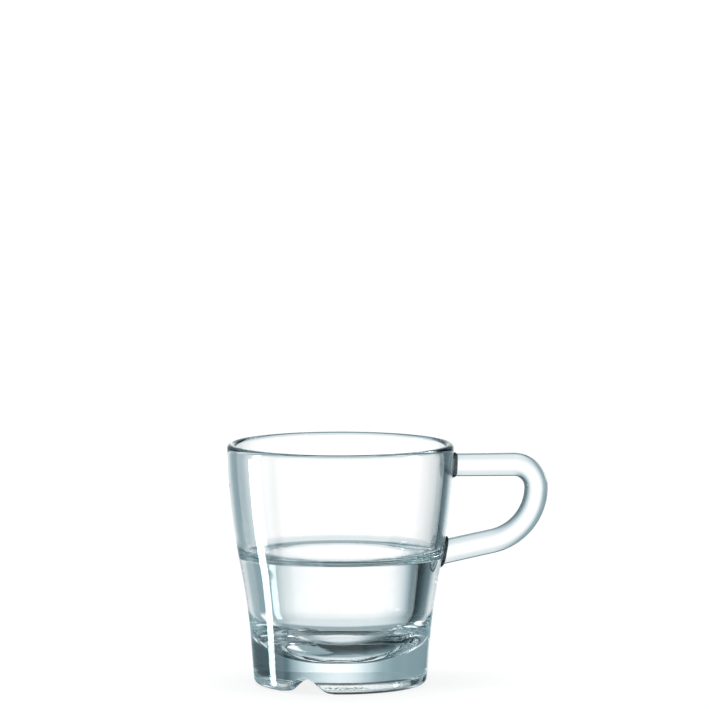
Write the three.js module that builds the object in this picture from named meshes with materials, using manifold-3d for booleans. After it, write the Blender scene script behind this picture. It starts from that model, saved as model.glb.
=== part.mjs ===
import * as THREE from 'three';
import { mergeVertices } from 'three/addons/utils/BufferGeometryUtils.js';
import Module from 'manifold-3d';

const wasm = await Module();
wasm.setup();

// Driving dimensions, in millimetres and degrees

// Outside of the bowl, from the rim down to the foot
const CUP_HEIGHT = 68;
const RIM_RADIUS = 32;
const RIM_DRAFT = 1.5;
const WAIST_HEIGHT = 33.5;
const WAIST_RADIUS = 28.35;
const WAIST_DRAFT = 11;
const BASE_HEIGHT = 12.5;
const BASE_RADIUS = 25.4;
const FOOT_RADIUS = 24.45;
const FOOT_EDGE = 1.7;

// Lip and the inside of the bowl, with the ledge that carries a stacked cup
const LIP_WALL = 2.5;
const LEDGE_HEIGHT = 37;
const LEDGE_OUTER_RADIUS = 26.4;
const LEDGE_DRAFT = 9.7;
const LEDGE_INNER_RADIUS = 22.2;
const LEDGE_CORNER = 3;
const LEDGE_EDGE = 1.1;
const WELL_RADIUS = 19.3;
const WELL_CORNER = 16;
const FLOOR_HEIGHT = 7.4;

// Hollow under the base, and the wave-shaped drain notches through its ring
const RECESS_DEPTH = 3.2;
const RECESS_RADIUS = 20.8;
const RECESS_CORNER = 0.9;
const RING_DRAFT = 10;
const RING_EDGE = 0.35;
const NOTCH_COUNT = 3;
const NOTCH_HEIGHT = 4.55;
const NOTCH_WIDTH = 17;
const NOTCH_FALL = 0.24;
const NOTCH_REACH = 9;

// Handle, a bent glass rod in the plane of the bowl's axis
const ARM_DROP = 6.5;
const HANDLE_REACH = 55.6;
const BEND_RADIUS = 6.5;
const SWEEP_RADIUS = 15.6;
const LOWER_ARM_SLOPE = 11.8;
const ROD_RADIUS_TOP = 3.25;
const ROD_RADIUS_END = 3.45;

// Collars of remelted glass between the bowl and the rod's two ends
const UPPER_COLLAR_LENGTH = 1;
const UPPER_COLLAR_LIP = 0.25;
const LOWER_COLLAR_LENGTH = 0.8;
const LOWER_COLLAR_LIP = 0.6;
const COLLAR_FLARE = 0.35;
const COLLAR_ROOT = 1.2;
const COLLAR_GAP = 0.2;

// How finely the round shapes are cut
const ROUND_STEPS = 60;
const ARC_STEP = 15;
const WALL_STEPS = 8;
const NOTCH_STEPS = 20;
const ROD_SIDES = 20;
const BEND_STEPS = 8;
const SWEEP_STEPS = 10;
const COLLAR_SIDES = 28;
const FLARE_STEPS = 5;
const SLOPE_STEP = 0.1;

const GLASS_COLOUR = 0xdcebed;

const slopeOf = (degrees) => Math.tan(THREE.MathUtils.degToRad(degrees));

// A wall between two heights, leaving each with its own slope
function wallCurve(low, lowSlope, high, highSlope) {
  const third = (high.y - low.y) / 3;
  const lowHandle = new THREE.Vector2(low.x + lowSlope * third, low.y + third);
  const highHandle = new THREE.Vector2(high.x - highSlope * third, high.y - third);
  return new THREE.CubicBezierCurve(low, lowHandle, highHandle, high);
}

const lipRadius = LIP_WALL / 2;
const armHeight = CUP_HEIGHT - ARM_DROP;
const footPoint = new THREE.Vector2(FOOT_RADIUS, 0);
const basePoint = new THREE.Vector2(BASE_RADIUS, BASE_HEIGHT);
const waistPoint = new THREE.Vector2(WAIST_RADIUS, WAIST_HEIGHT);
const rimPoint = new THREE.Vector2(RIM_RADIUS, CUP_HEIGHT - lipRadius);
const footSlope = (BASE_RADIUS - FOOT_RADIUS) / BASE_HEIGHT;
const lowerWall = wallCurve(basePoint, footSlope, waistPoint, slopeOf(WAIST_DRAFT));
const upperWall = wallCurve(waistPoint, slopeOf(WAIST_DRAFT), rimPoint, slopeOf(RIM_DRAFT));
const innerRim = new THREE.Vector2(RIM_RADIUS - LIP_WALL, rimPoint.y);
const ledgePoint = new THREE.Vector2(LEDGE_OUTER_RADIUS, LEDGE_HEIGHT);
const innerWall = wallCurve(ledgePoint, slopeOf(LEDGE_DRAFT), innerRim, slopeOf(RIM_DRAFT));

// Outside radius of the bowl at a height
function wallRadius(height) {
  if (height < BASE_HEIGHT) {
    return FOOT_RADIUS + footSlope * height;
  }
  const [curve, low, high] = height < WAIST_HEIGHT
    ? [lowerWall, basePoint, waistPoint]
    : [upperWall, waistPoint, rimPoint];
  return curve.getPoint(Math.min(1, (height - low.y) / (high.y - low.y))).x;
}

// A round over one corner of an outline, as points from its first tangent to its last
function roundCorner(before, corner, after, radius) {
  const toBefore = before.clone().sub(corner).normalize();
  const toAfter = after.clone().sub(corner).normalize();
  const half = Math.acos(THREE.MathUtils.clamp(toBefore.dot(toAfter), -1, 1)) / 2;
  const room = 0.98 * Math.min(before.distanceTo(corner), after.distanceTo(corner));
  const used = Math.min(radius, room * Math.tan(half));
  const middle = toBefore.clone().add(toAfter).normalize();
  const centre = corner.clone().addScaledVector(middle, used / Math.sin(half));
  const start = corner.clone().addScaledVector(toBefore, used / Math.tan(half)).sub(centre);
  const turn = Math.sign(toBefore.cross(toAfter)) * (Math.PI - 2 * half);
  const count = Math.max(2, Math.ceil(THREE.MathUtils.radToDeg(Math.abs(turn)) / ARC_STEP));
  const points = [];
  for (let i = 0; i <= count; i += 1) {
    const arm = start.clone().rotateAround(new THREE.Vector2(), -turn * i / count);
    points.push(arm.add(centre));
  }
  return points;
}

// An outline through corners, each given as radius, height and rounding
function roundedOutline(corners) {
  const spots = corners.map(([x, y]) => new THREE.Vector2(x, y));
  return corners.flatMap(([, , rounding], i) => (
    rounding > 0 ? roundCorner(spots[i - 1], spots[i], spots[i + 1], rounding) : [spots[i]]
  ));
}

// Half-section of the bowl, from the middle of its underside round to the middle of its floor
function bowlOutline() {
  const ringRadius = RECESS_RADIUS + RECESS_DEPTH * slopeOf(RING_DRAFT);
  const underside = roundedOutline([
    [0, RECESS_DEPTH, 0],
    [RECESS_RADIUS, RECESS_DEPTH, RECESS_CORNER],
    [ringRadius, 0, RING_EDGE],
    [footPoint.x, footPoint.y, FOOT_EDGE],
    [basePoint.x, basePoint.y, 0],
  ]);
  const wall = [
    ...lowerWall.getPoints(WALL_STEPS).slice(1),
    ...upperWall.getPoints(WALL_STEPS).slice(1),
  ];
  const lipCentre = innerRim.x + lipRadius;
  const lip = new THREE.EllipseCurve(lipCentre, innerRim.y, lipRadius, lipRadius, 0, Math.PI);
  const lipPoints = lip.getPoints(Math.ceil(180 / ARC_STEP)).slice(1, -1);
  const innerWallPoints = innerWall.getPoints(WALL_STEPS).slice(1).reverse();
  const inside = roundedOutline([
    ...innerWallPoints.map((spot) => [spot.x, spot.y, 0]),
    [ledgePoint.x, ledgePoint.y, LEDGE_CORNER],
    [LEDGE_INNER_RADIUS, LEDGE_HEIGHT, LEDGE_EDGE],
    [WELL_RADIUS, FLOOR_HEIGHT, WELL_CORNER],
    [0, FLOOR_HEIGHT, 0],
  ]);
  return [...underside, ...wall, ...lipPoints, ...inside];
}

// A body turned about the upright axis
function turned(outline, sides) {
  const geometry = new THREE.LatheGeometry(outline, sides);
  geometry.rotateX(Math.PI / 2);
  return geometry;
}

// A closed mesh as a solid that can be cut
function solidOf(geometry) {
  const bare = geometry.clone();
  bare.deleteAttribute('normal');
  bare.deleteAttribute('uv');
  const merged = mergeVertices(bare, 1e-4);
  const index = merged.index.array;
  const kept = [];
  for (let i = 0; i < index.length; i += 3) {
    const [a, b, c] = [index[i], index[i + 1], index[i + 2]];
    if (a !== b && b !== c && c !== a) {
      kept.push(a, b, c);
    }
  }
  return new wasm.Manifold(new wasm.Mesh({
    numProp: 3,
    vertProperties: new Float32Array(merged.attributes.position.array),
    triVerts: new Uint32Array(kept),
  }));
}

// A cut solid as a mesh again
function geometryOf(solid) {
  const mesh = solid.getMesh();
  const geometry = new THREE.BufferGeometry();
  geometry.setAttribute('position', new THREE.BufferAttribute(mesh.vertProperties, mesh.numProp));
  geometry.setIndex(new THREE.BufferAttribute(mesh.triVerts, 1));
  geometry.computeVertexNormals();
  return geometry;
}

// Cutter for one drain notch, a wave that falls towards the middle of the base
function notchCutter() {
  const half = NOTCH_WIDTH / 2;
  const below = NOTCH_FALL * NOTCH_REACH + NOTCH_HEIGHT;
  const wave = new THREE.Shape();
  wave.moveTo(-half, -below);
  for (let i = 0; i <= NOTCH_STEPS; i += 1) {
    const along = -half + NOTCH_WIDTH * i / NOTCH_STEPS;
    wave.lineTo(along, NOTCH_HEIGHT * (1 + Math.cos(Math.PI * along / half)) / 2);
  }
  wave.lineTo(half, -below);
  wave.closePath();
  const geometry = new THREE.ExtrudeGeometry(wave, { depth: 2 * NOTCH_REACH, bevelEnabled: false });
  geometry.rotateX(Math.PI / 2);
  geometry.rotateZ(Math.PI / 2);
  geometry.translate(-NOTCH_REACH, 0, 0);
  const shear = new THREE.Matrix4().set(1, 0, 0, 0, 0, 1, 0, 0, NOTCH_FALL, 0, 1, 0, 0, 0, 0, 1);
  geometry.applyMatrix4(shear);
  geometry.translate(FOOT_RADIUS, 0, 0);
  return geometry;
}

// The pressed bowl, with its notches spaced evenly from the one below the handle
function bowlGeometry() {
  const cutter = solidOf(notchCutter());
  let bowl = solidOf(turned(bowlOutline(), ROUND_STEPS));
  for (let i = 0; i < NOTCH_COUNT; i += 1) {
    bowl = bowl.subtract(cutter.rotate([0, 0, 360 * i / NOTCH_COUNT]));
  }
  return geometryOf(bowl);
}

// Centre line of the handle: upper arm, tight bend, wide sweep, sloping lower arm
class HandleLine extends THREE.Curve {
  constructor() {
    super();
    const slope = THREE.MathUtils.degToRad(LOWER_ARM_SLOPE);
    const bendHeight = armHeight - BEND_RADIUS;
    this.inward = new THREE.Vector2(-Math.cos(slope), -Math.sin(slope));
    this.start = new THREE.Vector2(wallRadius(armHeight) + UPPER_COLLAR_LENGTH, armHeight);
    this.bendCentre = new THREE.Vector2(HANDLE_REACH - BEND_RADIUS, bendHeight);
    this.sweepCentre = new THREE.Vector2(HANDLE_REACH - SWEEP_RADIUS, bendHeight);
    this.sweepTurn = Math.PI / 2 - slope;
    this.lowerStart = this.onArc(this.sweepCentre, SWEEP_RADIUS, -this.sweepTurn);
    this.lengths = [
      this.bendCentre.x - this.start.x,
      BEND_RADIUS * Math.PI / 2,
      SWEEP_RADIUS * this.sweepTurn,
      this.lowerArmLength(),
    ];
    this.total = this.lengths.reduce((sum, length) => sum + length, 0);
  }

  onArc(centre, radius, angle) {
    return new THREE.Vector2(Math.cos(angle), Math.sin(angle)).multiplyScalar(radius).add(centre);
  }

  // The lower arm runs until it is one collar's length away from the bowl's wall
  lowerArmLength() {
    let length = 0;
    for (let i = 0; i < 40; i += 1) {
      const spot = this.lowerStart.clone().addScaledVector(this.inward, length);
      length += (spot.x - wallRadius(spot.y) - LOWER_COLLAR_LENGTH) * 0.9;
    }
    return length;
  }

  spotAt(distance) {
    const [arm, bend, sweep] = this.lengths;
    if (distance <= arm) {
      return new THREE.Vector2(this.start.x + distance, armHeight);
    }
    if (distance <= arm + bend) {
      return this.onArc(this.bendCentre, BEND_RADIUS, Math.PI / 2 - (distance - arm) / BEND_RADIUS);
    }
    if (distance <= arm + bend + sweep) {
      return this.onArc(this.sweepCentre, SWEEP_RADIUS, -(distance - arm - bend) / SWEEP_RADIUS);
    }
    return this.lowerStart.clone().addScaledVector(this.inward, distance - arm - bend - sweep);
  }

  headingAt(distance) {
    const [arm, bend, sweep] = this.lengths;
    if (distance <= arm) {
      return 0;
    }
    if (distance <= arm + bend) {
      return -(distance - arm) / BEND_RADIUS;
    }
    return -Math.PI / 2 - Math.min(this.sweepTurn, (distance - arm - bend) / SWEEP_RADIUS);
  }
}

const handleLine = new HandleLine();

// One ring of points round the rod, set square to it or lying on a plane with the given normal
function rodRing(distance, radius, sides, normal) {
  const spot = handleLine.spotAt(distance);
  const heading = handleLine.headingAt(distance);
  const along = new THREE.Vector3(Math.cos(heading), 0, Math.sin(heading));
  const across = new THREE.Vector3(-Math.sin(heading), 0, Math.cos(heading));
  const ring = [];
  for (let j = 0; j < sides; j += 1) {
    const angle = 2 * Math.PI * j / sides;
    const arm = across.clone().multiplyScalar(radius * Math.cos(angle));
    arm.y = radius * Math.sin(angle);
    if (normal) {
      arm.addScaledVector(along, -arm.dot(normal) / along.dot(normal));
    }
    ring.push(arm.add(new THREE.Vector3(spot.x, 0, spot.y)));
  }
  return ring;
}

// Direction that the bowl's wall faces at a height, in the handle's plane
function wallNormal(height) {
  const slope = (wallRadius(height + SLOPE_STEP) - wallRadius(height - SLOPE_STEP)) / (2 * SLOPE_STEP);
  return new THREE.Vector3(1, 0, -slope).normalize();
}

// A closed skin over rings of points, with a flat face at each end
function skinned(rings) {
  const sides = rings[0].length;
  const last = (rings.length - 1) * sides;
  const triangles = [];
  for (let i = 0; i < last; i += sides) {
    for (let j = 0; j < sides; j += 1) {
      const a = i + j;
      const b = i + (j + 1) % sides;
      triangles.push(a, a + sides, b, b, a + sides, b + sides);
    }
  }
  for (let j = 1; j < sides - 1; j += 1) {
    triangles.push(0, j, j + 1, last, last + j + 1, last + j);
  }
  const geometry = new THREE.BufferGeometry().setFromPoints(rings.flat());
  geometry.setIndex(triangles);
  geometry.computeVertexNormals();
  return geometry;
}

const upperNormal = wallNormal(armHeight);
const lowerNormal = wallNormal(handleLine.spotAt(handleLine.total).y);

// The bent rod, with both ends trimmed to lie along the bowl's wall
function handleGeometry() {
  const [arm, bend, sweep] = handleLine.lengths;
  const distances = [0];
  for (let i = 0; i <= BEND_STEPS; i += 1) {
    distances.push(arm + bend * i / BEND_STEPS);
  }
  for (let i = 1; i <= SWEEP_STEPS; i += 1) {
    distances.push(arm + bend + sweep * i / SWEEP_STEPS);
  }
  distances.push(handleLine.total);
  return skinned(distances.map((distance, i) => {
    const radius = THREE.MathUtils.lerp(ROD_RADIUS_TOP, ROD_RADIUS_END, distance / handleLine.total);
    const ends = { 0: upperNormal, [distances.length - 1]: lowerNormal };
    return rodRing(distance, radius, ROD_SIDES, ends[i]);
  }));
}

// Everything inside the bowl's outer face, grown by a gap, to fit the collars against
function wallEnvelope(gap) {
  const outline = [new THREE.Vector2(0, -gap), new THREE.Vector2(FOOT_RADIUS + gap, -gap)];
  for (const spot of [...lowerWall.getPoints(WALL_STEPS), ...upperWall.getPoints(WALL_STEPS).slice(1)]) {
    outline.push(new THREE.Vector2(spot.x + gap, spot.y));
  }
  outline.push(new THREE.Vector2(RIM_RADIUS + gap, 2 * CUP_HEIGHT), new THREE.Vector2(0, 2 * CUP_HEIGHT));
  return solidOf(turned(outline, ROUND_STEPS));
}

// One collar, flared from the rod's end face and fitted to the bowl's wall
function collarGeometry(distance, faceRadius, length, normal) {
  const heading = handleLine.headingAt(distance);
  const along = new THREE.Vector3(Math.cos(heading), 0, Math.sin(heading));
  const towardsBowl = along.multiplyScalar(distance > 0 ? 1 : -1);
  const depth = length + COLLAR_ROOT;
  const rings = [];
  for (let i = 0; i <= FLARE_STEPS; i += 1) {
    const share = i / FLARE_STEPS;
    const radius = faceRadius + COLLAR_FLARE * (share * depth / length) ** 2;
    const ring = rodRing(distance, radius, COLLAR_SIDES, normal);
    rings.push(ring.map((spot) => spot.addScaledVector(towardsBowl, depth * share)));
  }
  const flared = skinned(distance > 0 ? rings : rings.reverse());
  return geometryOf(solidOf(flared).subtract(wallEnvelope(COLLAR_GAP)));
}

function glassMesh(name, geometry) {
  const material = new THREE.MeshStandardMaterial({ color: GLASS_COLOUR, roughness: 0.05, metalness: 0 });
  const mesh = new THREE.Mesh(geometry, material);
  mesh.name = name;
  return mesh;
}

// The cup stands on its foot, with the middle of its whole width at the origin
const widestReach = HANDLE_REACH + THREE.MathUtils.lerp(
  ROD_RADIUS_TOP,
  ROD_RADIUS_END,
  (handleLine.lengths[0] + handleLine.lengths[1]) / handleLine.total,
);

const cup = new THREE.Group();
cup.name = 'espresso_cup';
const upperFace = ROD_RADIUS_TOP + UPPER_COLLAR_LIP;
const lowerFace = ROD_RADIUS_END + LOWER_COLLAR_LIP;
cup.add(
  glassMesh('bowl', bowlGeometry()),
  glassMesh('upper_weld', collarGeometry(0, upperFace, UPPER_COLLAR_LENGTH, upperNormal)),
  glassMesh('lower_weld', collarGeometry(handleLine.total, lowerFace, LOWER_COLLAR_LENGTH, lowerNormal)),
  glassMesh('handle', handleGeometry()),
);
cup.position.x = (RIM_RADIUS - widestReach) / 2;

const object = new THREE.Group();
object.name = 'object';
object.add(cup);

export default object;
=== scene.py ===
"""Looks of a clear glass espresso cup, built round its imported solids."""

import math
from collections import namedtuple

import bmesh
import bpy
from bpy.props import FloatProperty, FloatVectorProperty, IntProperty, PointerProperty
from bpy.types import Operator, Panel, PropertyGroup
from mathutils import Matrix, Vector


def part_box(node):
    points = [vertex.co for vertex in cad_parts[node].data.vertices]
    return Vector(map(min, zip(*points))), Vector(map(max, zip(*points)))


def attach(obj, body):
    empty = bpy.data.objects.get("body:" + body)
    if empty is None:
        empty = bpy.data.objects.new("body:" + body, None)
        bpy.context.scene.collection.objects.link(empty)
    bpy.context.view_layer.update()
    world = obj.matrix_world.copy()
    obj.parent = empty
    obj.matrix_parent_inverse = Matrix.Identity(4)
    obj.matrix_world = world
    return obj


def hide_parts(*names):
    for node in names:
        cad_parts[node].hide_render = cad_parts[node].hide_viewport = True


bl_info = {
    "name": "Glass espresso cup",
    "version": (1, 0, 0),
    "blender": (4, 5, 0),
    "location": "View3D > Sidebar > Cup",
    "description": "Dresses the solids of a stackable glass espresso cup and lights them",
    "category": "Object",
}

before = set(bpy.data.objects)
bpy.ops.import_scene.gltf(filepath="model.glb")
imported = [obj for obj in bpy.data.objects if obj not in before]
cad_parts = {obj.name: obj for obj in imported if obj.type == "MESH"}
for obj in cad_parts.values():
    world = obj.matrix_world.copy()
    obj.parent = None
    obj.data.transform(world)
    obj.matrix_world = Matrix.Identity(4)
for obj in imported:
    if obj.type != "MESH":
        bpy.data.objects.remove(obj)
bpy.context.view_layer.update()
BOWL_LOW, BOWL_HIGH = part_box("bowl")

MM = 0.001
AXIS_X = (BOWL_LOW.x + BOWL_HIGH.x) / 2
IMAGE_SIDE = 709
SENSOR_WIDTH = 36.0

# Fineness of the meshes
ROD_SIDES = 64
ROD_RINGS = 96
WALL_STEPS = 24
FACE_SHARES = (0.8, 0.55, 0.3, 0.1)
FINE_ROWS = 0.35 * MM
COARSE_ROWS = 1.5 * MM
SETTLING_STEPS = 40
SETTLING_SHARE = 0.8
ON_AXIS = 1e-7
BELOW_TABLE = -1.0

# Colours with their alpha
WHITE = (1.0, 1.0, 1.0, 1.0)
BLUISH = (0.55, 0.86, 0.90, 1.0)
# Painted shade: near-black colour laid on the foot's bottom edge and in the corner of the hollow under
# the base
PAINTED_SHADE = (0.02, 0.035, 0.04, 1.0)
FLOOR_GRAIN = (0.85, 0.87, 0.87, 1.0)

# Depth of the ripple, and how often light may bounce
RIPPLE_HEIGHT = 0.2 * MM
GLASS_BOUNCES = 32
GLOSS_BOUNCES = 24

# Floor and overhead lamp, in metres and watts
FLOOR_RINGS = (0.1, 0.4, 1.0, 2.5)
FLOOR_SIDES = 64
FLOOR_GLOW = 1.07
FLOOR_FADE = (0.12, 0.6)
FLOOR_WHITE = (0.8, 1.0)
LAMP_SIZE = 2.0
LAMP_HEIGHT = 3.0
LAMP_POWER = 88.0

# Light cards, in degrees right of straight behind the cup and above level; later ones lie on top
Card = namedtuple("Card", "name left right low high light soft fade", defaults=(4, 4))
CARDS = (
    Card("front fill, low", 100, 260, -50, -25, 0.45),
    Card("front fill, left", 180, 260, 5, 45, 0.4),
    Card("front fill, right", 95, 145, 5, 45, 0.4),
    Card("front fill, level", 145, 215, -5, 10, 0.5),
    Card("right fill", 80, 120, -45, 0, 0.3),
    Card("front table", 150, 250, -25, -5, 1.2),
    Card("left wall", -90, -20, -75, 45, 0.4),
    Card("back wall", -15, 35, -70, 10, 0.35, 30, 30),
    Card("back table", -10, 20, -60, -40, 0.45),
    Card("backlight", -15, 15, -40, 35, 0.9, 15),
    Card("backlight, middle", -10, 15, -15, 5, 1.2, 15, 10),
    Card("left window", -100, -75, -25, 15, 1.2),
    Card("rear left", -60, -35, -45, -15, 1.1),
    Card("front right", 120, 150, -30, 0, 1.1, 10),
)
STRIP = Card("tall strip", -84, -72, -26, -8, 15.0, 0.5, 0.5)
STRIP_THROUGH_GLASS = 0.4
SHADE_FADE = 0.9


def length(name, description, millimetres):
    """A length of the cup, given in millimetres and held in metres."""
    return FloatProperty(
        name=name,
        description=description,
        default=millimetres * MM,
        min=0.0,
        precision=5,
        unit="LENGTH",
    )


def angle(name, description, degrees):
    """An angle, given in degrees."""
    return FloatProperty(
        name=name, description=description, default=math.radians(degrees), unit="ROTATION"
    )


def amount(name, description, default):
    """A plain number."""
    return FloatProperty(name=name, description=description, default=default, precision=4)


def colour(name, description, default):
    """A colour in linear light."""
    return FloatVectorProperty(
        name=name, description=description, default=default, size=3, subtype="COLOR", min=0.0, max=1.0
    )


class CupBowlSizes(PropertyGroup):
    """Sizes of the pressed bowl."""

    height: length("Height", "Foot to rim", BOWL_HIGH.z / MM)
    rim_radius: length("Rim radius", "Outside radius at the rim", (BOWL_HIGH.y - BOWL_LOW.y) / 2 / MM)
    rim_draft: angle("Rim draft", "Lean of the wall at the rim", 1.5)
    waist_height: length("Waist height", "Height of the steepest part of the wall", 33.5)
    waist_radius: length("Waist radius", "Outside radius at the waist", 28.35)
    waist_draft: angle("Waist draft", "Lean of the wall at the waist", 11.0)
    base_height: length("Base height", "Top of the straight base", 12.5)
    base_radius: length("Base radius", "Outside radius at the top of the base", 25.4)
    foot_radius: length("Foot radius", "Outside radius of the foot", 24.45)
    foot_edge: length("Foot edge", "Rounding of the foot's outer edge", 1.7)
    lip_wall: length("Lip wall", "Thickness of the wall at the rim", 2.5)
    ledge_height: length("Ledge height", "Height of the stacking ledge inside", 37.0)
    ledge_outer: length("Ledge outer radius", "Where the upper inside wall meets the ledge", 26.4)
    ledge_draft: angle("Ledge draft", "Lean of the inside wall where it meets the ledge", 9.7)
    ledge_inner: length("Ledge inner radius", "Where the ledge drops into the well", 22.2)
    ledge_corner: length("Ledge corner", "Rounding where the wall meets the ledge", 3.0)
    ledge_edge: length("Ledge edge", "Rounding of the ledge's inner edge", 1.1)
    well_radius: length("Well radius", "Radius of the well at its floor", 19.3)
    well_corner: length("Well corner", "Rounding between the well's wall and floor", 16.0)
    floor_height: length("Floor height", "Thickness of the base below the well", 7.4)
    recess_depth: length("Recess depth", "Depth of the hollow under the base", 3.2)
    recess_radius: length("Recess radius", "Radius of the hollow under the base", 20.8)
    recess_corner: length("Recess corner", "Rounding of the hollow's corner", 0.9)
    ring_draft: angle("Ring draft", "Lean of the ring's inner face", 10.0)
    ring_edge: length("Ring edge", "Rounding of the ring's inner edge", 0.35)
    notch_count: IntProperty(
        name="Notches", description="Drain notches in the foot ring", default=3, min=1
    )
    notch_height: length("Notch height", "Height of a drain notch at the outside", 4.55)
    notch_width: length("Notch width", "Width of a drain notch at the table", 17.0)
    notch_fall: amount("Notch fall", "Slope of the notch's roof towards the middle", 0.24)
    notch_edge: length("Notch edge", "Rounding where the notch meets the ring", 0.9)


class CupHandleSizes(PropertyGroup):
    """Sizes of the rod handle and its welds."""

    arm_drop: length("Arm drop", "Rim to the middle of the upper arm", 6.5)
    rod_radius_top: length("Rod radius, upper end", "Radius of the rod at its upper weld", 3.25)
    rod_radius_end: length("Rod radius, lower end", "Radius of the rod at its lower weld", 3.45)
    bend_radius: length("Bend radius", "Middle radius of the tight bend", 6.5)
    sweep_radius: length("Sweep radius", "Middle radius of the wide sweep", 15.6)
    reach: length("Reach", "Bowl's axis to the middle of the upright", 55.6)
    lower_slope: angle("Lower arm slope", "Fall of the lower arm towards the bowl", 11.8)
    upper_collar: length("Upper weld length", "Wall to the rod's upper end", 1.0)
    upper_lip: length("Upper weld lip", "How far the upper weld stands proud of the rod", 0.25)
    lower_collar: length("Lower weld length", "Wall to the rod's lower end", 0.8)
    lower_lip: length("Lower weld lip", "How far the lower weld stands proud of the rod", 0.6)
    flare: length("Weld flare", "How far a weld spreads onto the wall", 0.35)
    seam: length("Seam", "Width of the dark seam on each side of a weld", 0.06)
    end_round: length("End rounding", "Rounding of the rod's ends and the welds' edges", 0.22)


class CupGlassLook(PropertyGroup):
    """Colour and finish of the glass."""

    tint: colour("Tint", "What thick glass does to white light", (0.70, 0.90, 0.93))
    density: amount("Tint density", "Strength of the tint per metre", 8.0)
    gleam: colour("Gleam", "Tint of reflections", (0.82, 0.96, 1.0))
    index: amount("Index", "Refractive index of the bowl", 1.52)
    rod_index: amount("Rod index", "Refractive index of the rod, whose edges show only faintly", 1.28)
    weld_tint: colour("Weld tint", "What a weld does to white light", (0.05, 0.09, 0.11))
    weld_density: amount("Weld density", "Strength of a weld's tint per metre", 320.0)
    ripple: amount("Ripple", "Strength of the pressed waviness", 0.12)
    stipple: amount("Stipple", "Strength of the mould's stipple on the foot", 1.2)


class CupStageLook(PropertyGroup):
    """Floor, light and camera."""

    floor: colour("Floor", "Colour of the floor", (0.93, 0.94, 0.94))
    room: amount("Room", "Brightness of the room between the cards", 0.03)
    shade: colour("Shade", "Tint of the room's darkest parts", (0.49, 0.86, 1.0))
    view_turn: angle("View turn", "Camera's turn round the cup from straight in front", -5.3)
    view_distance: length("View distance", "Camera to the bowl's axis, level", 1500.0)
    view_height: length("View height", "Camera above the table", 232.0)
    aim_right: length("Aim to the right", "Aim point, right of the bowl's axis", 3.95)
    aim_height: length("Aim height", "Aim point above the table", 93.1)
    focal_pixels: amount("Focal length", "Focal length in pixels of the picture", 5352.0)


# Outlines


def wall_curve(low, low_slope, high, high_slope, steps):
    """A wall between two heights that leaves each with its own slope, as radius and height."""
    third = (high[1] - low[1]) / 3
    handles = (low[0], low[0] + low_slope * third, high[0] - high_slope * third, high[0])
    points = []
    for i in range(steps + 1):
        t = i / steps
        u = 1 - t
        shares = (u**3, 3 * u * u * t, 3 * u * t * t, t**3)
        radius = sum(share * handle for share, handle in zip(shares, handles))
        points.append((radius, low[1] + (high[1] - low[1]) * t))
    return points


def round_corner(before, corner, after, radius, step):
    """Points of a round over one corner of an outline."""
    corner = Vector(corner)
    back = (Vector(before) - corner).normalized()
    ahead = (Vector(after) - corner).normalized()
    half = back.angle(ahead) / 2
    centre = corner + (back + ahead).normalized() * (radius / math.sin(half))
    start = corner + back * (radius / math.tan(half)) - centre
    end = corner + ahead * (radius / math.tan(half)) - centre
    turn = math.atan2(start.x * end.y - start.y * end.x, start.dot(end))
    count = max(3, math.ceil(abs(math.degrees(turn)) / step))
    points = []
    for i in range(count + 1):
        swing = turn * i / count
        points.append((
            centre.x + start.x * math.cos(swing) - start.y * math.sin(swing),
            centre.y + start.x * math.sin(swing) + start.y * math.cos(swing),
        ))
    return points


def rounded_outline(corners, step=5.0):
    """An outline through corners, each given as radius, height and rounding."""
    points = []
    for i, (radius, height, rounding) in enumerate(corners):
        if rounding > 0:
            before, after = corners[i - 1][:2], corners[i + 1][:2]
            points += round_corner(before, (radius, height), after, rounding, step)
        else:
            points.append((radius, height))
    return points


def closer(points, gap):
    """The same outline with points added, so that no two are further apart than the gap."""
    filled = [points[0]]
    for (r0, z0), (r1, z1) in zip(points, points[1:]):
        count = max(1, math.ceil(math.dist((r0, z0), (r1, z1)) / gap))
        for i in range(1, count + 1):
            filled.append((r0 + (r1 - r0) * i / count, z0 + (z1 - z0) * i / count))
    return filled


def outer_wall(sizes, steps=WALL_STEPS):
    """Outside of the bowl from the top of its base to the lip, as radius and height."""
    foot_slope = (sizes.base_radius - sizes.foot_radius) / sizes.base_height
    base = (sizes.base_radius, sizes.base_height)
    waist = (sizes.waist_radius, sizes.waist_height)
    rim = (sizes.rim_radius, sizes.height - sizes.lip_wall / 2)
    waist_slope = math.tan(sizes.waist_draft)
    lower = wall_curve(base, foot_slope, waist, waist_slope, steps)
    return lower + wall_curve(waist, waist_slope, rim, math.tan(sizes.rim_draft), steps)[1:]


def wall_radius(wall, height):
    """Outside radius of the bowl at a height, and the wall's slope there."""
    for (r0, z0), (r1, z1) in zip(wall, wall[1:]):
        if height <= z1:
            break
    slope = (r1 - r0) / (z1 - z0)
    return r0 + slope * (height - z0), slope


def underside_outline(sizes):
    """The bowl's underside and base, with closer points where the drain notches cut them."""
    foot_slope = (sizes.base_radius - sizes.foot_radius) / sizes.base_height
    ring_radius = sizes.recess_radius + sizes.recess_depth * math.tan(sizes.ring_draft)
    notch_top = sizes.notch_height + sizes.notch_edge
    notch_end = sizes.foot_radius - (notch_top - sizes.recess_depth) / sizes.notch_fall
    ring = rounded_outline([
        (notch_end, sizes.recess_depth, 0.0),
        (sizes.recess_radius, sizes.recess_depth, sizes.recess_corner),
        (ring_radius, 0.0, sizes.ring_edge),
        (sizes.foot_radius, 0.0, sizes.foot_edge),
        (sizes.foot_radius + foot_slope * notch_top, notch_top, 0.0),
    ])
    hollow = closer([(0.0, sizes.recess_depth), ring[0]], COARSE_ROWS)
    base = closer([ring[-1], (sizes.base_radius, sizes.base_height)], COARSE_ROWS)
    return hollow[:-1] + closer(ring, FINE_ROWS) + base[1:]


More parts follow.
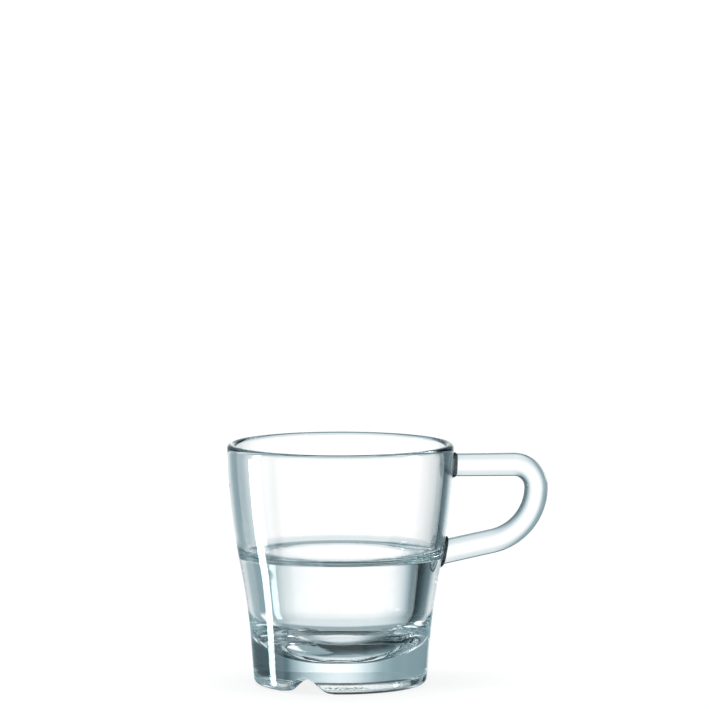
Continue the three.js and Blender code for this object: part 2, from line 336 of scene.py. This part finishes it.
def bowl_outline(sizes):
    """Half-section of the bowl, from the middle of its underside to the middle of its floor."""
    inner_rim = sizes.rim_radius - sizes.lip_wall
    lip = sizes.lip_wall / 2
    rim_height = sizes.height - lip
    over_lip = []
    for degrees in range(10, 180, 10):
        turn = math.radians(degrees)
        over_lip.append((inner_rim + lip + lip * math.cos(turn), rim_height + lip * math.sin(turn)))
    ledge = (sizes.ledge_outer, sizes.ledge_height)
    ledge_slope = math.tan(sizes.ledge_draft)
    rim_slope = math.tan(sizes.rim_draft)
    inner_wall = wall_curve(ledge, ledge_slope, (inner_rim, rim_height), rim_slope, WALL_STEPS)
    inside = rounded_outline([
        *((radius, height, 0.0) for radius, height in inner_wall[:2:-1]),
        (*ledge, sizes.ledge_corner),
        (sizes.ledge_inner, sizes.ledge_height, sizes.ledge_edge),
        (sizes.well_radius, sizes.floor_height, sizes.well_corner),
        (0.0, sizes.floor_height, 0.0),
    ])
    return underside_outline(sizes) + outer_wall(sizes)[1:] + over_lip + closer(inside, COARSE_ROWS)


def notch_roof(sizes, turn, radius):
    """Height of a drain notch's roof round the foot, or below the table where there is none."""
    spacing = math.tau / sizes.notch_count
    away = (turn + spacing / 2) % spacing - spacing / 2
    half = sizes.notch_width / 2 / sizes.foot_radius
    if abs(away) >= half:
        return BELOW_TABLE
    wave = sizes.notch_height * (1 + math.cos(math.pi * away / half)) / 2
    return wave - sizes.notch_fall * (sizes.foot_radius - radius)


def soft_max(a, b, blend):
    """The larger of two heights, with the crease between them rounded."""
    reach = max(blend - abs(a - b), 0.0) / blend
    return max(a, b) + reach * reach * blend / 4


# Meshes


def new_piece(name, mesh_builder, material, node):
    """One piece of the cup from a filled bmesh, dressed and set in place of its solid."""
    mesh = bpy.data.meshes.new(name)
    bmesh.ops.recalc_face_normals(mesh_builder, faces=mesh_builder.faces[:])
    for face in mesh_builder.faces:
        face.smooth = True
    mesh_builder.to_mesh(mesh)
    mesh_builder.free()
    mesh.materials.append(material)
    piece = bpy.data.objects.new(name, mesh)
    bpy.context.scene.collection.objects.link(piece)
    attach(piece, "root")
    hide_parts(node)


def skin_rings(builder, rings):
    """Quads between closed rings of points; a ring of one point is a pole."""
    rows = [[builder.verts.new(spot) for spot in ring] for ring in rings]
    for low, high in zip(rows, rows[1:]):
        count = max(len(low), len(high))
        for j in range(count):
            k = (j + 1) % count
            if len(low) == 1:
                builder.faces.new((low[0], high[k], high[j]))
            elif len(high) == 1:
                builder.faces.new((low[j], low[k], high[0]))
            else:
                builder.faces.new((low[j], low[k], high[k], high[j]))


def bowl_turns(sizes, fine=64, coarse=52):
    """Angles round the bowl, closer together at the drain notches than between them."""
    spacing = 360 / sizes.notch_count
    reach = 1 + math.ceil(math.degrees(sizes.notch_width / 2 / sizes.foot_radius))
    turns = []
    for i in range(sizes.notch_count):
        start = i * spacing - reach
        turns += [start + 2 * reach * j / fine for j in range(fine)]
        turns += [start + 2 * reach + (spacing - 2 * reach) * j / coarse for j in range(coarse)]
    return [math.radians(turn) for turn in turns]


def bowl_rings(sizes):
    """Rings of the bowl's skin, with the drain notches pressed up into its foot."""
    outline = bowl_outline(sizes)
    turns = bowl_turns(sizes)
    rim = max(range(len(outline)), key=lambda i: outline[i][1])
    rings = []
    for i, (radius, height) in enumerate(outline):
        if radius < ON_AXIS:
            rings.append([(AXIS_X, 0.0, height)])
            continue
        ring = []
        for turn in turns:
            lifted = height
            if i < rim and height < sizes.notch_height + sizes.notch_edge:
                roof = notch_roof(sizes, turn, radius)
                if roof > -sizes.notch_edge:
                    lifted = soft_max(height, roof, sizes.notch_edge)
            ring.append((AXIS_X + radius * math.cos(turn), radius * math.sin(turn), lifted))
        rings.append(ring)
    return rings


class HandleLine:
    """Centre line of the rod: upper arm, tight bend, wide sweep, sloping lower arm."""

    def __init__(self, bowl, rod):
        self.wall = outer_wall(bowl)
        self.arm_height = bowl.height - rod.arm_drop
        self.rod = rod
        self.bend_height = self.arm_height - rod.bend_radius
        self.start_x = wall_radius(self.wall, self.arm_height)[0] + rod.upper_collar
        self.sweep_turn = math.pi / 2 - rod.lower_slope
        self.lower_start = self.on_sweep(self.sweep_turn)
        self.lengths = (
            rod.reach - rod.bend_radius - self.start_x,
            rod.bend_radius * math.pi / 2,
            rod.sweep_radius * self.sweep_turn,
            self.lower_arm(),
        )
        self.total = sum(self.lengths)

    def on_sweep(self, turn):
        """Place on the wide sweep after a turn along it."""
        centre = self.rod.reach - self.rod.sweep_radius
        radius = self.rod.sweep_radius
        return (centre + radius * math.cos(turn), self.bend_height - radius * math.sin(turn))

    def lower_arm(self):
        """Length of the lower arm, which stops one weld's length away from the wall."""
        x, z = self.lower_start
        run = 0.0
        for _ in range(SETTLING_STEPS):
            here = x - run * math.cos(self.rod.lower_slope)
            height = z - run * math.sin(self.rod.lower_slope)
            run += SETTLING_SHARE * (here - wall_radius(self.wall, height)[0] - self.rod.lower_collar)
        return run

    def at(self, distance):
        """Place and heading of the rod after a distance along it."""
        arm, bend, sweep, _ = self.lengths
        if distance <= arm:
            return (self.start_x + distance, self.arm_height), 0.0
        if distance <= arm + bend:
            turn = (distance - arm) / self.rod.bend_radius
            x = self.rod.reach - self.rod.bend_radius + self.rod.bend_radius * math.sin(turn)
            return (x, self.bend_height + self.rod.bend_radius * math.cos(turn)), -turn
        turn = min(self.sweep_turn, (distance - arm - bend) / self.rod.sweep_radius)
        x, z = self.on_sweep(turn)
        run = max(0.0, distance - arm - bend - sweep)
        heading = -math.pi / 2 - turn
        return (x + run * math.cos(heading), z + run * math.sin(heading)), heading

    def wall_normal(self, height):
        """Direction that the wall faces at a height, in the handle's plane."""
        return Vector((1.0, 0.0, -wall_radius(self.wall, height)[1])).normalized()


def rod_direction(heading):
    """Direction of the rod where it has a heading."""
    return Vector((math.cos(heading), 0.0, math.sin(heading)))


def rod_ring(line, distance, radius, normal=None):
    """One ring of points round the rod, square to it or lying along the wall's own slope."""
    (x, z), heading = line.at(distance)
    along = rod_direction(heading)
    across = Vector((-math.sin(heading), 0.0, math.cos(heading)))
    ring = []
    for j in range(ROD_SIDES):
        turn = math.tau * j / ROD_SIDES
        arm = across * (radius * math.cos(turn)) + Vector((0.0, radius * math.sin(turn), 0.0))
        if normal is not None:
            arm -= along * (arm.dot(normal) / along.dot(normal))
        ring.append(Vector((AXIS_X + x, 0.0, z)) + arm)
    return ring


def rod_radius(line, distance):
    """Radius of the rod after a distance along it, swelling slightly towards its lower end."""
    share = distance / line.total
    return line.rod.rod_radius_top * (1 - share) + line.rod.rod_radius_end * share


def rounded_edge(line, distance, radius, towards, normal):
    """Rings over the rounded edge of an end face, from its side in to the face."""
    rounding = line.rod.end_round
    rings = []
    for degrees in range(0, 91, 15):
        turn = math.radians(degrees)
        shrunk = rod_ring(line, distance, radius - rounding * (1 - math.cos(turn)), normal)
        rings.append([spot + towards * (rounding * (1 - math.sin(turn))) for spot in shrunk])
    return rings


def end_rings(line, distance, radius, normal, sign):
    """Rings over one end of the rod: rounded edge, then rings in to the middle of its face."""
    (x, z), heading = line.at(distance)
    rings = rounded_edge(line, distance, radius, rod_direction(heading) * sign, normal)
    for share in FACE_SHARES:
        rings.append(rod_ring(line, distance, (radius - line.rod.end_round) * share, normal))
    rings.append([Vector((AXIS_X + x, 0.0, z))])
    return rings


def handle_rings(line, easing=3 * MM):
    """Rings of the rod from the middle of one end face to the middle of the other."""
    rod = line.rod
    upper = line.wall_normal(line.at(0.0)[0][1])
    lower = line.wall_normal(line.at(line.total)[0][1])
    first = end_rings(line, rod.seam, rod.rod_radius_top, upper, 1.0)
    last = end_rings(line, line.total - rod.seam, rod.rod_radius_end, lower, -1.0)
    middle = []
    for i in range(ROD_RINGS + 1):
        distance = easing + (line.total - 2 * easing) * i / ROD_RINGS
        middle.append(rod_ring(line, distance, rod_radius(line, distance)))
    return first[::-1] + middle + last


def weld_rings(line, distance, face_radius, flare_steps=6):
    """Rings of one weld, flared from the rod's end face and fitted to the bowl's wall."""
    rod = line.rod
    (x, z), heading = line.at(distance)
    sign = 1.0 if distance > 0 else -1.0
    towards = rod_direction(heading) * sign
    normal = line.wall_normal(z)
    middle = Vector((AXIS_X + x, 0.0, z))
    rings = [[middle]]
    for share in reversed(FACE_SHARES):
        rings.append(rod_ring(line, distance, (face_radius - rod.end_round) * share, normal))
    rings += reversed(rounded_edge(line, distance, face_radius, towards, normal))
    for i in range(1, flare_steps + 1):
        share = i / flare_steps
        flared = rod_ring(line, distance, face_radius + rod.flare * share * share, normal)
        rings.append([onto_wall(line, spot, towards, rod.seam, share) for spot in flared])
    for share in FACE_SHARES:
        flat = rod_ring(line, distance, (face_radius + rod.flare) * share, normal)
        rings.append([onto_wall(line, spot, towards, rod.seam, 1.0) for spot in flat])
    rings.append([onto_wall(line, middle, towards, rod.seam, 1.0)])
    return rings


def onto_wall(line, spot, towards, gap, share):
    """A point moved towards the bowl by a share of its way to the wall."""
    run = 0.0
    for _ in range(SETTLING_STEPS):
        here = spot + towards * run
        clear = math.hypot(here.x - AXIS_X, here.y) - wall_radius(line.wall, here.z)[0] - gap
        run += SETTLING_SHARE * clear
    return spot + towards * (run * share)


# Finishes and painted shade


def new_group(name, inputs, outputs):
    """An empty shader node group with named sockets, and its input and output nodes."""
    group = bpy.data.node_groups.new(name, "ShaderNodeTree")
    for socket, default in inputs:
        added = group.interface.new_socket(socket, in_out="INPUT", socket_type="NodeSocketFloat")
        added.default_value = default
    for socket, kind in outputs:
        group.interface.new_socket(socket, in_out="OUTPUT", socket_type=kind)
    return group, group.nodes.new("NodeGroupInput"), group.nodes.new("NodeGroupOutput")


def noise(tree, vector, scale, detail, roughness=0.5):
    """A noise texture on a vector."""
    node = tree.nodes.new("ShaderNodeTexNoise")
    node.inputs["Scale"].default_value = scale
    node.inputs["Detail"].default_value = detail
    node.inputs["Roughness"].default_value = roughness
    tree.links.new(vector, node.inputs["Vector"])
    return node.outputs["Fac"]


def ranged(tree, value, low, high, to_low, to_high):
    """A value mapped smoothly from one range to another."""
    node = tree.nodes.new("ShaderNodeMapRange")
    node.interpolation_type = "SMOOTHSTEP"
    limits = {"From Min": low, "From Max": high, "To Min": to_low, "To Max": to_high}
    for name, number in limits.items():
        node.inputs[name].default_value = number
    tree.links.new(value, node.inputs["Value"])
    return node.outputs["Result"]


def sums(tree, operation, first, second):
    """A math node on two sockets, or on a socket and a number."""
    node = tree.nodes.new("ShaderNodeMath")
    node.operation = operation
    for i, value in enumerate((first, second)):
        if isinstance(value, (int, float)):
            node.inputs[i].default_value = value
        else:
            tree.links.new(value, node.inputs[i])
    return node.outputs[0]


def product(tree, first, *others):
    """Several sockets multiplied together."""
    for other in others:
        first = sums(tree, "MULTIPLY", first, other)
    return first


def mixed(tree, share, first, second, kind="RGBA", label=""):
    """Two colours or numbers mixed by a share; each is a socket or a plain value."""
    node = tree.nodes.new("ShaderNodeMix")
    node.data_type = kind
    node.label = label
    tree.links.new(share, node.inputs["Factor"])
    for name, value in (("A", first), ("B", second)):
        if isinstance(value, (tuple, float)):
            node.inputs[name].default_value = value
        else:
            tree.links.new(value, node.inputs[name])
    return node.outputs["Result"]


def stretched(tree, scale):
    """The piece's own coordinates, stretched along its axes."""
    place = tree.nodes.new("ShaderNodeTexCoord")
    mapping = tree.nodes.new("ShaderNodeMapping")
    mapping.inputs["Scale"].default_value = scale
    tree.links.new(place.outputs["Object"], mapping.inputs["Vector"])
    return mapping.outputs["Vector"]


def from_axis(tree):
    """Distance from the bowl's axis, and height above the table."""
    place = tree.nodes.new("ShaderNodeTexCoord")
    moved = tree.nodes.new("ShaderNodeVectorMath")
    moved.operation = "SUBTRACT"
    moved.inputs[1].default_value = (AXIS_X, 0.0, 0.0)
    tree.links.new(place.outputs["Object"], moved.inputs[0])
    parts = tree.nodes.new("ShaderNodeSeparateXYZ")
    tree.links.new(moved.outputs["Vector"], parts.inputs["Vector"])
    squares = [sums(tree, "POWER", parts.outputs[axis], 2.0) for axis in "XY"]
    return sums(tree, "SQRT", sums(tree, "ADD", *squares), 0.0), parts.outputs["Z"]


def ledge_mask(tree, sizes, radius, rise):
    """Where the inside wall turns into the ledge, 0 to 1."""
    ledge, wall = sizes.ledge_height, sizes.ledge_outer
    return product(
        tree,
        ranged(tree, rise, ledge - 0.1 * MM, ledge + 0.6 * MM, 0.0, 1.0),
        ranged(tree, rise, ledge + 2.5 * MM, ledge + 5.5 * MM, 1.0, 0.0),
        ranged(tree, radius, wall + 1.6 * MM, wall + 2.0 * MM, 1.0, 0.0),
    )


def base_mask(tree, sizes, radius, rise):
    """The well's floor and the hollow under it, 0 to 1, fading towards their edges."""
    well, hollow = sizes.well_radius, sizes.recess_radius
    return product(
        tree,
        ranged(tree, radius, 0.67 * well, well, 1.0, 0.0),
        ranged(tree, radius, hollow - 0.4 * MM, hollow + 0.4 * MM, 1.0, 0.0),
        ranged(tree, rise, 1.3 * sizes.base_height, 2.1 * sizes.base_height, 1.0, 0.0),
    )


def hollow_corner_mask(tree, sizes, radius, rise):
    """The corner of the hollow under the base, 0 to 1, where dark shade is painted."""
    depth, hollow, corner = sizes.recess_depth, sizes.recess_radius, sizes.recess_corner
    return product(
        tree,
        ranged(tree, rise, depth - 0.8 * corner, depth - 0.45 * corner, 0.0, 1.0),
        ranged(tree, rise, depth + 0.1 * MM, depth + 0.2 * MM, 1.0, 0.0),
        ranged(tree, radius, hollow - corner, hollow - 0.65 * corner, 0.0, 1.0),
        ranged(tree, radius, hollow + 0.2 * MM, hollow + 0.5 * MM, 1.0, 0.0),
    )


def pressed_ripple_group(sizes):
    """Waviness of pressed glass, as a height: slow, fine, grainy on the ledge, mottled in the base."""
    group, given, out = new_group(
        "pressed_ripple",
        [("Slow", 1.0), ("Fine", 0.3), ("Ledge", 0.0), ("Base", 0.0)],
        [("Height", "NodeSocketFloat")],
    )
    radius, rise = from_axis(group)
    grain = noise(group, stretched(group, (0.7, 0.7, 1.4)), scale=800.0, detail=2.0)
    mottle = noise(group, stretched(group, (1.0, 1.0, 2.2)), scale=200.0, detail=2.0)
    waves = {
        "Slow": noise(group, stretched(group, (1.0, 1.0, 2.6)), scale=55.0, detail=1.0),
        "Fine": noise(group, stretched(group, (1.0, 1.0, 1.4)), scale=190.0, detail=2.0),
        "Ledge": product(group, grain, ledge_mask(group, sizes, radius, rise)),
        "Base": product(group, mottle, base_mask(group, sizes, radius, rise)),
    }
    total = 0.0
    for name, wave in waves.items():
        total = sums(group, "ADD", product(group, wave, given.outputs[name]), total)
    group.links.new(total, out.inputs["Height"])
    return group


def marks_and_painted_shade_group(sizes):
    """Wipe marks, tint drift, a satin ledge, and painted shade on the foot's bottom edge and in the
    hollow's corner, as a roughness and a colour.
    """
    group, given, out = new_group(
        "marks_and_painted_shade",
        [("Marks", 0.02), ("Drift", 0.04), ("Painted shade", 0.0), ("Satin", 0.0)],
        [("Roughness", "NodeSocketFloat"), ("Color", "NodeSocketColor")],
    )
    radius, rise = from_axis(group)
    smears = noise(group, stretched(group, (1.0, 1.0, 0.35)), scale=120.0, detail=4.0, roughness=0.6)
    marks = product(group, ranged(group, smears, 0.45, 0.75, 0.0, 1.0), given.outputs["Marks"])
    satin = product(group, ledge_mask(group, sizes, radius, rise), given.outputs["Satin"])
    group.links.new(sums(group, "ADD", marks, satin), out.inputs["Roughness"])
    drift = noise(group, stretched(group, (1.0, 1.0, 1.0)), scale=28.0, detail=2.0)
    share = product(group, drift, given.outputs["Drift"])
    clear = mixed(group, share, WHITE, BLUISH)
    # Painted shade: the lowest band of the foot and the hollow's corner are darkened towards near black
    contact_shade = ranged(group, rise, 0.2 * sizes.foot_edge, 0.56 * sizes.foot_edge, 1.0, 0.0)
    shade_places = sums(group, "MAXIMUM", contact_shade, hollow_corner_mask(group, sizes, radius, rise))
    shade_share = product(group, shade_places, given.outputs["Painted shade"])
    group.links.new(mixed(group, shade_share, clear, PAINTED_SHADE), out.inputs["Color"])
    return group


def foot_stipple_group(sizes):
    """Stipple of the mould on the foot ring, up to the top of its notches, as a height."""
    group, given, out = new_group("foot_stipple", [("Strength", 1.0)], [("Height", "NodeSocketFloat")])
    place = group.nodes.new("ShaderNodeTexCoord")
    _, rise = from_axis(group)
    ring = ranged(group, rise, sizes.notch_height - 1.5 * MM, sizes.notch_height, 1.0, 0.0)
    grains = noise(group, place.outputs["Object"], scale=900.0, detail=2.0, roughness=0.6)
    group.links.new(product(group, grains, ring, given.outputs["Strength"]), out.inputs["Height"])
    return group


def finish_node(tree, build, values):
    """One finish placed in a material with its own values; its group is built once and then shared."""
    name = build.__name__.removesuffix("_group")
    node = tree.nodes.new("ShaderNodeGroup")
    node.node_tree = bpy.data.node_groups.get(name) or build(bpy.context.scene.cup_bowl)
    for socket, value in values.items():
        node.inputs[socket].default_value = value
    return node.outputs


def glass_material(name, look, index, depth_tint, waves, surface, stipple=0.0):
    """Clear glass with a tint in its depth, waviness, the marks of use and, where its values ask for
    it, painted shade.
    """
    material = bpy.data.materials.new(name)
    material.use_nodes = True
    tree = material.node_tree
    tree.nodes.clear()
    shader = tree.nodes.new("ShaderNodeBsdfPrincipled")
    shader.inputs["Metallic"].default_value = 0.0
    shader.inputs["Transmission Weight"].default_value = 1.0
    shader.inputs["IOR"].default_value = index
    shader.inputs["Specular Tint"].default_value = (*look.gleam, 1.0)
    # Base colour carries tint drift and painted shade; roughness carries wipe marks and the satin ledge
    marks_and_shade = finish_node(tree, marks_and_painted_shade_group, surface)
    tree.links.new(marks_and_shade["Color"], shader.inputs["Base Color"])
    tree.links.new(marks_and_shade["Roughness"], shader.inputs["Roughness"])
    height = finish_node(tree, pressed_ripple_group, waves)["Height"]
    if stipple > 0:
        foot = finish_node(tree, foot_stipple_group, {"Strength": stipple})
        height = sums(tree, "ADD", height, foot["Height"])
    bump = tree.nodes.new("ShaderNodeBump")
    bump.inputs["Strength"].default_value = look.ripple
    bump.inputs["Distance"].default_value = RIPPLE_HEIGHT
    tree.links.new(height, bump.inputs["Height"])
    tree.links.new(bump.outputs["Normal"], shader.inputs["Normal"])
    depth = tree.nodes.new("ShaderNodeVolumeAbsorption")
    depth.inputs["Color"].default_value = (*depth_tint[0], 1.0)
    depth.inputs["Density"].default_value = depth_tint[1]
    out = tree.nodes.new("ShaderNodeOutputMaterial")
    tree.links.new(shader.outputs["BSDF"], out.inputs["Surface"])
    tree.links.new(depth.outputs["Volume"], out.inputs["Volume"])
    return material


# Stage


def card_mask(tree, bearing, rise, card):
    """How far one soft-edged card covers a direction, 0 to 1."""
    middle = (card.left + card.right) / 2
    half = (card.right - card.left) / 2
    away = sums(tree, "PINGPONG", sums(tree, "SUBTRACT", bearing, middle), 180.0)
    across = ranged(tree, away, half - card.soft, half + card.soft, 1.0, 0.0)
    upward = ranged(tree, rise, card.low - card.fade, card.low + card.fade, 0.0, 1.0)
    downward = ranged(tree, rise, card.high - card.fade, card.high + card.fade, 1.0, 0.0)
    return product(tree, across, upward, downward)


def world_shader(stage):
    """A dim room with a backlight behind the cup and soft cards round it; white to the camera."""
    world = bpy.data.worlds.new("studio")
    bpy.context.scene.world = world
    world.use_nodes = True
    tree = world.node_tree
    tree.nodes.clear()
    place = tree.nodes.new("ShaderNodeTexCoord")
    turned = tree.nodes.new("ShaderNodeVectorRotate")
    turned.rotation_type = "Z_AXIS"
    turned.inputs["Angle"].default_value = -stage.view_turn
    tree.links.new(place.outputs["Generated"], turned.inputs["Vector"])
    parts = tree.nodes.new("ShaderNodeSeparateXYZ")
    tree.links.new(turned.outputs["Vector"], parts.inputs["Vector"])
    degrees = math.degrees(1.0)
    turn = sums(tree, "ARCTAN2", parts.outputs["X"], parts.outputs["Y"])
    bearing = product(tree, turn, degrees)
    rise = product(tree, sums(tree, "ARCSINE", parts.outputs["Z"], 0.0), degrees)
    level = stage.room
    for card in CARDS:
        level = mixed(tree, card_mask(tree, bearing, rise, card), level, card.light, "FLOAT", card.name)
    tinted = mixed(tree, product(tree, level, SHADE_FADE), (*stage.shade, 1.0), WHITE)
    path = tree.nodes.new("ShaderNodeLightPath")
    through = STRIP_THROUGH_GLASS * STRIP.light
    strip = ranged(tree, path.outputs["Is Transmission Ray"], 0.0, 1.0, STRIP.light, through)
    strip = product(tree, strip, card_mask(tree, bearing, rise, STRIP))
    level = sums(tree, "ADD", level, strip)
    seen = mixed(tree, path.outputs["Is Camera Ray"], tinted, WHITE)
    strength = sums(tree, "MAXIMUM", level, path.outputs["Is Camera Ray"])
    background = tree.nodes.new("ShaderNodeBackground")
    tree.links.new(seen, background.inputs["Color"])
    tree.links.new(strength, background.inputs["Strength"])
    out = tree.nodes.new("ShaderNodeOutputWorld")
    tree.links.new(background.outputs["Background"], out.inputs["Surface"])


def floor_material(stage):
    """Pale floor that shows white to the camera and still takes a soft shadow."""
    material = bpy.data.materials.new("pale_floor")
    material.use_nodes = True
    tree = material.node_tree
    tree.nodes.clear()
    matt = tree.nodes.new("ShaderNodeBsdfDiffuse")
    grain = noise(tree, stretched(tree, (1.0, 1.0, 1.0)), scale=400.0, detail=2.0)
    shade = ranged(tree, grain, 0.3, 0.7, 0.0, 0.04)
    matt_colour = mixed(tree, shade, (*stage.floor, 1.0), FLOOR_GRAIN)
    tree.links.new(matt_colour, matt.inputs["Color"])
    glow = tree.nodes.new("ShaderNodeEmission")
    glow.inputs["Strength"].default_value = FLOOR_GLOW
    path = tree.nodes.new("ShaderNodeLightPath")
    away, _ = from_axis(tree)
    white = ranged(tree, away, *FLOOR_FADE, *FLOOR_WHITE)
    share = product(tree, path.outputs["Is Camera Ray"], white)
    both = tree.nodes.new("ShaderNodeMixShader")
    tree.links.new(share, both.inputs["Fac"])
    tree.links.new(matt.outputs["BSDF"], both.inputs[1])
    tree.links.new(glow.outputs["Emission"], both.inputs[2])
    out = tree.nodes.new("ShaderNodeOutputMaterial")
    tree.links.new(both.outputs["Shader"], out.inputs["Surface"])
    return material


def add_floor(stage):
    """A round floor under the cup."""
    builder = bmesh.new()
    rings = [[Vector((AXIS_X, 0.0, 0.0))]]
    turns = [math.tau * j / FLOOR_SIDES for j in range(FLOOR_SIDES)]
    for radius in FLOOR_RINGS:
        ring = [(AXIS_X + radius * math.cos(turn), radius * math.sin(turn), 0.0) for turn in turns]
        rings.append(ring)
    skin_rings(builder, rings)
    mesh = bpy.data.meshes.new("floor")
    builder.to_mesh(mesh)
    builder.free()
    mesh.materials.append(floor_material(stage))
    floor = bpy.data.objects.new("floor", mesh)
    bpy.context.scene.collection.objects.link(floor)
    floor.visible_glossy = False
    floor.visible_transmission = False


def add_camera(stage):
    """The photograph's viewpoint."""
    turn = stage.view_turn
    right = Vector((math.cos(turn), math.sin(turn), 0.0))
    back = Vector((math.sin(turn), -math.cos(turn), 0.0))
    axis = Vector((AXIS_X, 0.0, 0.0))
    place = axis + back * stage.view_distance + Vector((0.0, 0.0, stage.view_height))
    aim = axis + right * stage.aim_right + Vector((0.0, 0.0, stage.aim_height))
    camera = bpy.data.cameras.new("viewpoint")
    camera.sensor_width = SENSOR_WIDTH
    camera.lens = SENSOR_WIDTH * stage.focal_pixels / IMAGE_SIDE
    seat = bpy.data.objects.new("viewpoint", camera)
    seat.location = place
    seat.rotation_euler = (aim - place).to_track_quat("-Z", "Y").to_euler()
    bpy.context.scene.collection.objects.link(seat)
    bpy.context.scene.camera = seat


def add_overhead_light():
    """A large soft light above, which draws the shadow on the floor and leaves the glass alone."""
    lamp = bpy.data.lights.new("overhead", "AREA")
    lamp.size = LAMP_SIZE
    lamp.energy = LAMP_POWER
    holder = bpy.data.objects.new("overhead", lamp)
    holder.location = (AXIS_X, 0.0, LAMP_HEIGHT)
    holder.visible_camera = False
    holder.visible_glossy = False
    holder.visible_transmission = False
    bpy.context.scene.collection.objects.link(holder)


# Operators


class CUP_OT_bowl(Operator):
    """Make the pressed bowl with its ledge, well, foot ring and drain notches"""

    bl_idname = "cup.bowl"
    bl_label = "Bowl"

    def execute(self, context):
        scene = context.scene
        look = scene.cup_glass
        builder = bmesh.new()
        skin_rings(builder, bowl_rings(scene.cup_bowl))
        clear = (look.tint, look.density)
        waves = {"Slow": 1.0, "Fine": 0.1, "Ledge": 1.5, "Base": 2.5}
        # Painted shade 0.9 darkens the foot's bottom edge and the hollow's corner
        surface = {"Marks": 0.03, "Drift": 0.05, "Painted shade": 0.9, "Satin": 0.06}
        glass = glass_material(
            "pressed_bowl_glass", look, look.index, clear, waves, surface, look.stipple
        )
        new_piece("pressed_bowl", builder, glass, "bowl")
        return {"FINISHED"}


class CUP_OT_handle(Operator):
    """Make the bent rod handle"""

    bl_idname = "cup.handle"
    bl_label = "Handle"

    def execute(self, context):
        scene = context.scene
        builder = bmesh.new()
        skin_rings(builder, handle_rings(HandleLine(scene.cup_bowl, scene.cup_handle)))
        look = scene.cup_glass
        clear = (look.tint, look.density)
        waves = {"Slow": 0.8, "Fine": 0.15}
        surface = {"Marks": 0.02, "Drift": 0.03}
        glass = glass_material("drawn_rod_glass", look, look.rod_index, clear, waves, surface)
        new_piece("rod_handle", builder, glass, "handle")
        return {"FINISHED"}


class CUP_OT_welds(Operator):
    """Make the two welds between the rod's ends and the bowl"""

    bl_idname = "cup.welds"
    bl_label = "Welds"

    def execute(self, context):
        scene = context.scene
        rod = scene.cup_handle
        line = HandleLine(scene.cup_bowl, rod)
        look = scene.cup_glass
        dark = (look.weld_tint, look.weld_density)
        waves = {"Slow": 1.0, "Fine": 0.6}
        surface = {"Marks": 0.04, "Drift": 0.08}
        glass = glass_material("remelted_weld_glass", look, look.index, dark, waves, surface)
        places = (
            ("upper_joint", "upper_weld", 0.0, rod.rod_radius_top + rod.upper_lip),
            ("lower_joint", "lower_weld", line.total, rod.rod_radius_end + rod.lower_lip),
        )
        for name, node, distance, face_radius in places:
            builder = bmesh.new()
            skin_rings(builder, weld_rings(line, distance, face_radius))
            new_piece(name, builder, glass, node)
        return {"FINISHED"}


class CUP_OT_stage(Operator):
    """Set the floor, the light and the camera"""

    bl_idname = "cup.stage"
    bl_label = "Stage"

    def execute(self, context):
        scene = context.scene
        stage = scene.cup_stage
        scene.view_settings.view_transform = "Standard"
        scene.cycles.max_bounces = GLASS_BOUNCES
        scene.cycles.transmission_bounces = GLASS_BOUNCES
        scene.cycles.glossy_bounces = GLOSS_BOUNCES
        add_camera(stage)
        add_floor(stage)
        world_shader(stage)
        add_overhead_light()
        return {"FINISHED"}


class CUP_PT_parts(Panel):
    """Pieces of the cup, in the order in which they are made"""

    bl_idname = "CUP_PT_parts"
    bl_label = "Espresso cup"
    bl_space_type = "VIEW_3D"
    bl_region_type = "UI"
    bl_category = "Cup"

    def draw(self, context):
        for operator in OPERATORS:
            self.layout.operator(operator.bl_idname)


GROUPS = {
    "cup_bowl": CupBowlSizes,
    "cup_handle": CupHandleSizes,
    "cup_glass": CupGlassLook,
    "cup_stage": CupStageLook,
}
OPERATORS = (CUP_OT_bowl, CUP_OT_handle, CUP_OT_welds, CUP_OT_stage)


def register():
    for group in GROUPS.values():
        bpy.utils.register_class(group)
    for name, group in GROUPS.items():
        setattr(bpy.types.Scene, name, PointerProperty(type=group))
    for operator in OPERATORS:
        bpy.utils.register_class(operator)
    bpy.utils.register_class(CUP_PT_parts)


def unregister():
    bpy.utils.unregister_class(CUP_PT_parts)
    for operator in reversed(OPERATORS):
        bpy.utils.unregister_class(operator)
    for name, group in reversed(GROUPS.items()):
        delattr(bpy.types.Scene, name)
        bpy.utils.unregister_class(group)


def main():
    register()
    bpy.ops.cup.bowl()
    bpy.ops.cup.handle()
    bpy.ops.cup.welds()
    bpy.ops.cup.stage()
    bpy.context.view_layer.update()


if __name__ == "__main__":
    main()
